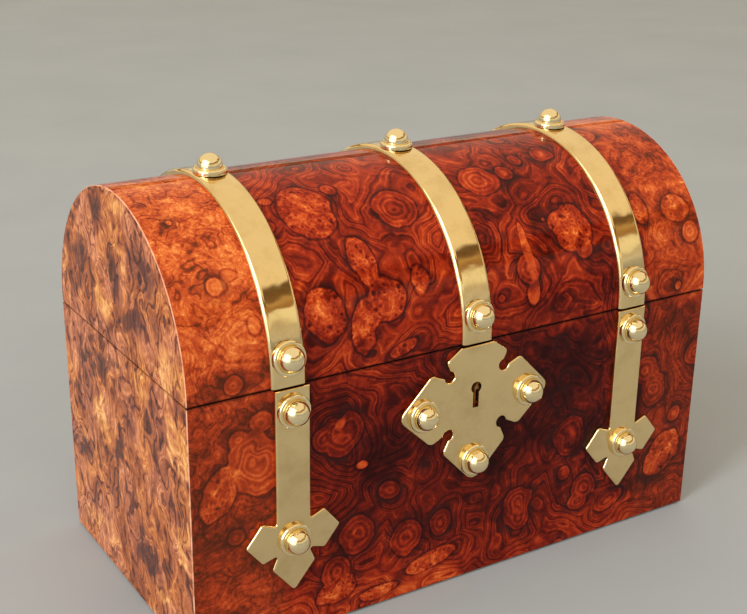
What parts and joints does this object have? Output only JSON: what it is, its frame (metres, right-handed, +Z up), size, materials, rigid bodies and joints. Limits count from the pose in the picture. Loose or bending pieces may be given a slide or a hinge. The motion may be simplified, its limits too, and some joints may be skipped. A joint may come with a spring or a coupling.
{
  "type": "tea caddy",
  "caption": "Dome-topped burr-veneered tea caddy bound with studded brass straps, with a hinged lid over two lidded compartments.",
  "frame": {"origin": "middle of the underside, on the surface that the caddy stands on", "axes": "+X to the right seen from the front, +Y from the front to the back, +Z up"},
  "size_m": [0.23, 0.133, 0.1664],
  "materials": {
    "burr_veneer": "burr walnut veneer stained deep red, french polished",
    "end_veneer": "paler burr veneer, french polished",
    "carcass_wood": "planed mahogany",
    "interior_wood": "waxed walnut",
    "strap_brass": "flat brass, polished and a little toned",
    "stud_brass": "polished turned brass",
    "fitting_brass": "dull rolled brass",
    "steel": "bright steel dulled by age",
    "tea_lead": "dull tea lead with fine creases",
    "velvet": "worn cotton velvet",
    "baize": "felted wool baize"
  },
  "bodies": {
    "base": {"base_baize": "baize", "bottom_board": "carcass_wood", "front_board": "carcass_wood", "back_board": "carcass_wood", "left_end_board": "carcass_wood", "right_end_board": "carcass_wood", "base_rim_facing": "interior_wood", "front_veneer": "burr_veneer", "back_veneer": "burr_veneer", "left_base_veneer": "end_veneer", "right_base_veneer": "end_veneer", "divider": "interior_wood", "left_compartment_lining": "interior_wood", "right_compartment_lining": "interior_wood", "left_lid_ledge": "interior_wood", "right_lid_ledge": "interior_wood", "left_foil_liner": "tea_lead", "right_foil_liner": "tea_lead", "escutcheon": "strap_brass", "left_base_strap": "strap_brass", "right_base_strap": "strap_brass", "base_strap_studs": "stud_brass", "escutcheon_studs": "stud_brass", "lock_case": "fitting_brass", "lock_cap": "fitting_brass", "lock_drill_pin": "steel", "lock_screws": "steel", "left_hinge_base_leaf": "fitting_brass", "right_hinge_base_leaf": "fitting_brass", "hinge_pins": "steel", "hinge_base_screws": "steel"},
    "lid": {"lid_shell": "carcass_wood", "left_lid_end_board": "carcass_wood", "right_lid_end_board": "carcass_wood", "lid_rim_facing": "interior_wood", "lid_dome_veneer": "burr_veneer", "left_lid_veneer": "end_veneer", "right_lid_veneer": "end_veneer", "lid_lining": "velvet", "lid_end_linings": "velvet", "left_lid_strap": "strap_brass", "centre_lid_strap": "strap_brass", "right_lid_strap": "strap_brass", "lid_front_studs": "stud_brass", "lid_crest_studs": "stud_brass", "lid_back_studs": "stud_brass", "lock_link_plate": "fitting_brass", "lock_link_screws": "steel", "left_hinge_lid_leaf": "fitting_brass", "right_hinge_lid_leaf": "fitting_brass", "hinge_lid_screws": "steel"},
    "lock_bolt": {"lock_bolt": "fitting_brass", "lock_bolt_spring": "steel"},
    "left_inner_lid": {"left_inner_lid": "interior_wood", "left_inner_lid_knob": "fitting_brass"},
    "right_inner_lid": {"right_inner_lid": "interior_wood", "right_inner_lid_knob": "fitting_brass"}
  },
  "joints": [
    {"name": "lid_hinge", "type": "hinge", "parent": "base", "child": "lid", "pos_m": [0, 0.0607, 0.09825], "axis": [-1, 0, 0], "range_deg": [0, 98]},
    {"name": "left_inner_lid_lift", "type": "slide", "parent": "base", "child": "left_inner_lid", "axis": [0, 0, 1], "range_m": [0, 0.025]},
    {"name": "right_inner_lid_lift", "type": "slide", "parent": "base", "child": "right_inner_lid", "axis": [0, 0, 1], "range_m": [0, 0.025]},
    {"name": "lock_bolt_throw", "type": "slide", "parent": "base", "child": "lock_bolt", "axis": [1, 0, 0], "range_m": [0, 0.0042]}
  ]
}
